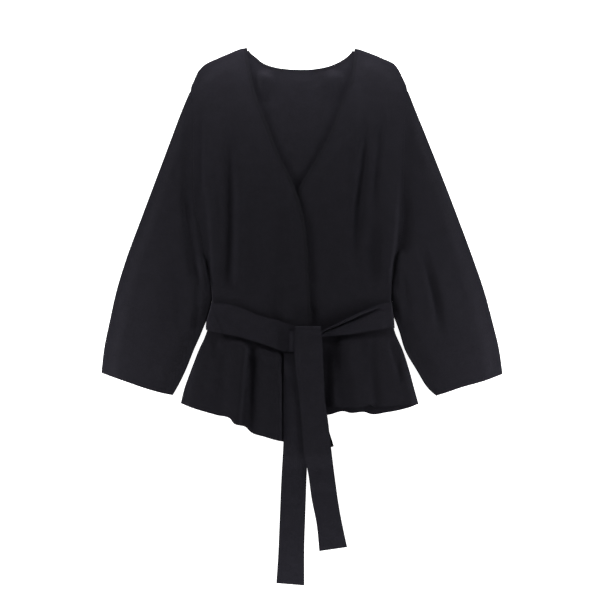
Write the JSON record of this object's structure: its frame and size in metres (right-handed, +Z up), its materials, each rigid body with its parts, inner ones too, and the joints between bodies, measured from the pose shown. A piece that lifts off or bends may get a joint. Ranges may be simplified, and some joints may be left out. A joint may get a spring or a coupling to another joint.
{
  "type": "knit wrap jacket",
  "caption": "Black fine knit wrap jacket laid flat, with a V neck, wide dropped sleeves, a tied self belt and a short flared skirt with a slanting front hem",
  "frame": {"origin": "middle of the laid jacket's box, on the surface that it lies on", "axes": "+Z up from the surface, +Y from the hem to the neck, +X towards the wearer's left"},
  "size_m": [0.7021, 0.9402, 0.0224],
  "materials": {
    "body_knit": "fine matte knit",
    "band_knit": "narrow self band, matte",
    "belt_knit": "fine matte knit, doubled"
  },
  "bodies": {
    "root": {"back": "body_knit", "front_right": "body_knit", "front_left": "body_knit", "sleeve_right": "body_knit", "sleeve_left": "body_knit", "neckband_back": "band_knit", "neckband_right": "band_knit", "neckband_left": "band_knit", "belt_back": "belt_knit", "belt_strap_right": "belt_knit", "belt_strap_left": "belt_knit", "belt_knot": "belt_knit", "belt_tail_right": "belt_knit", "belt_tail_left": "belt_knit"}
  },
  "joints": []
}
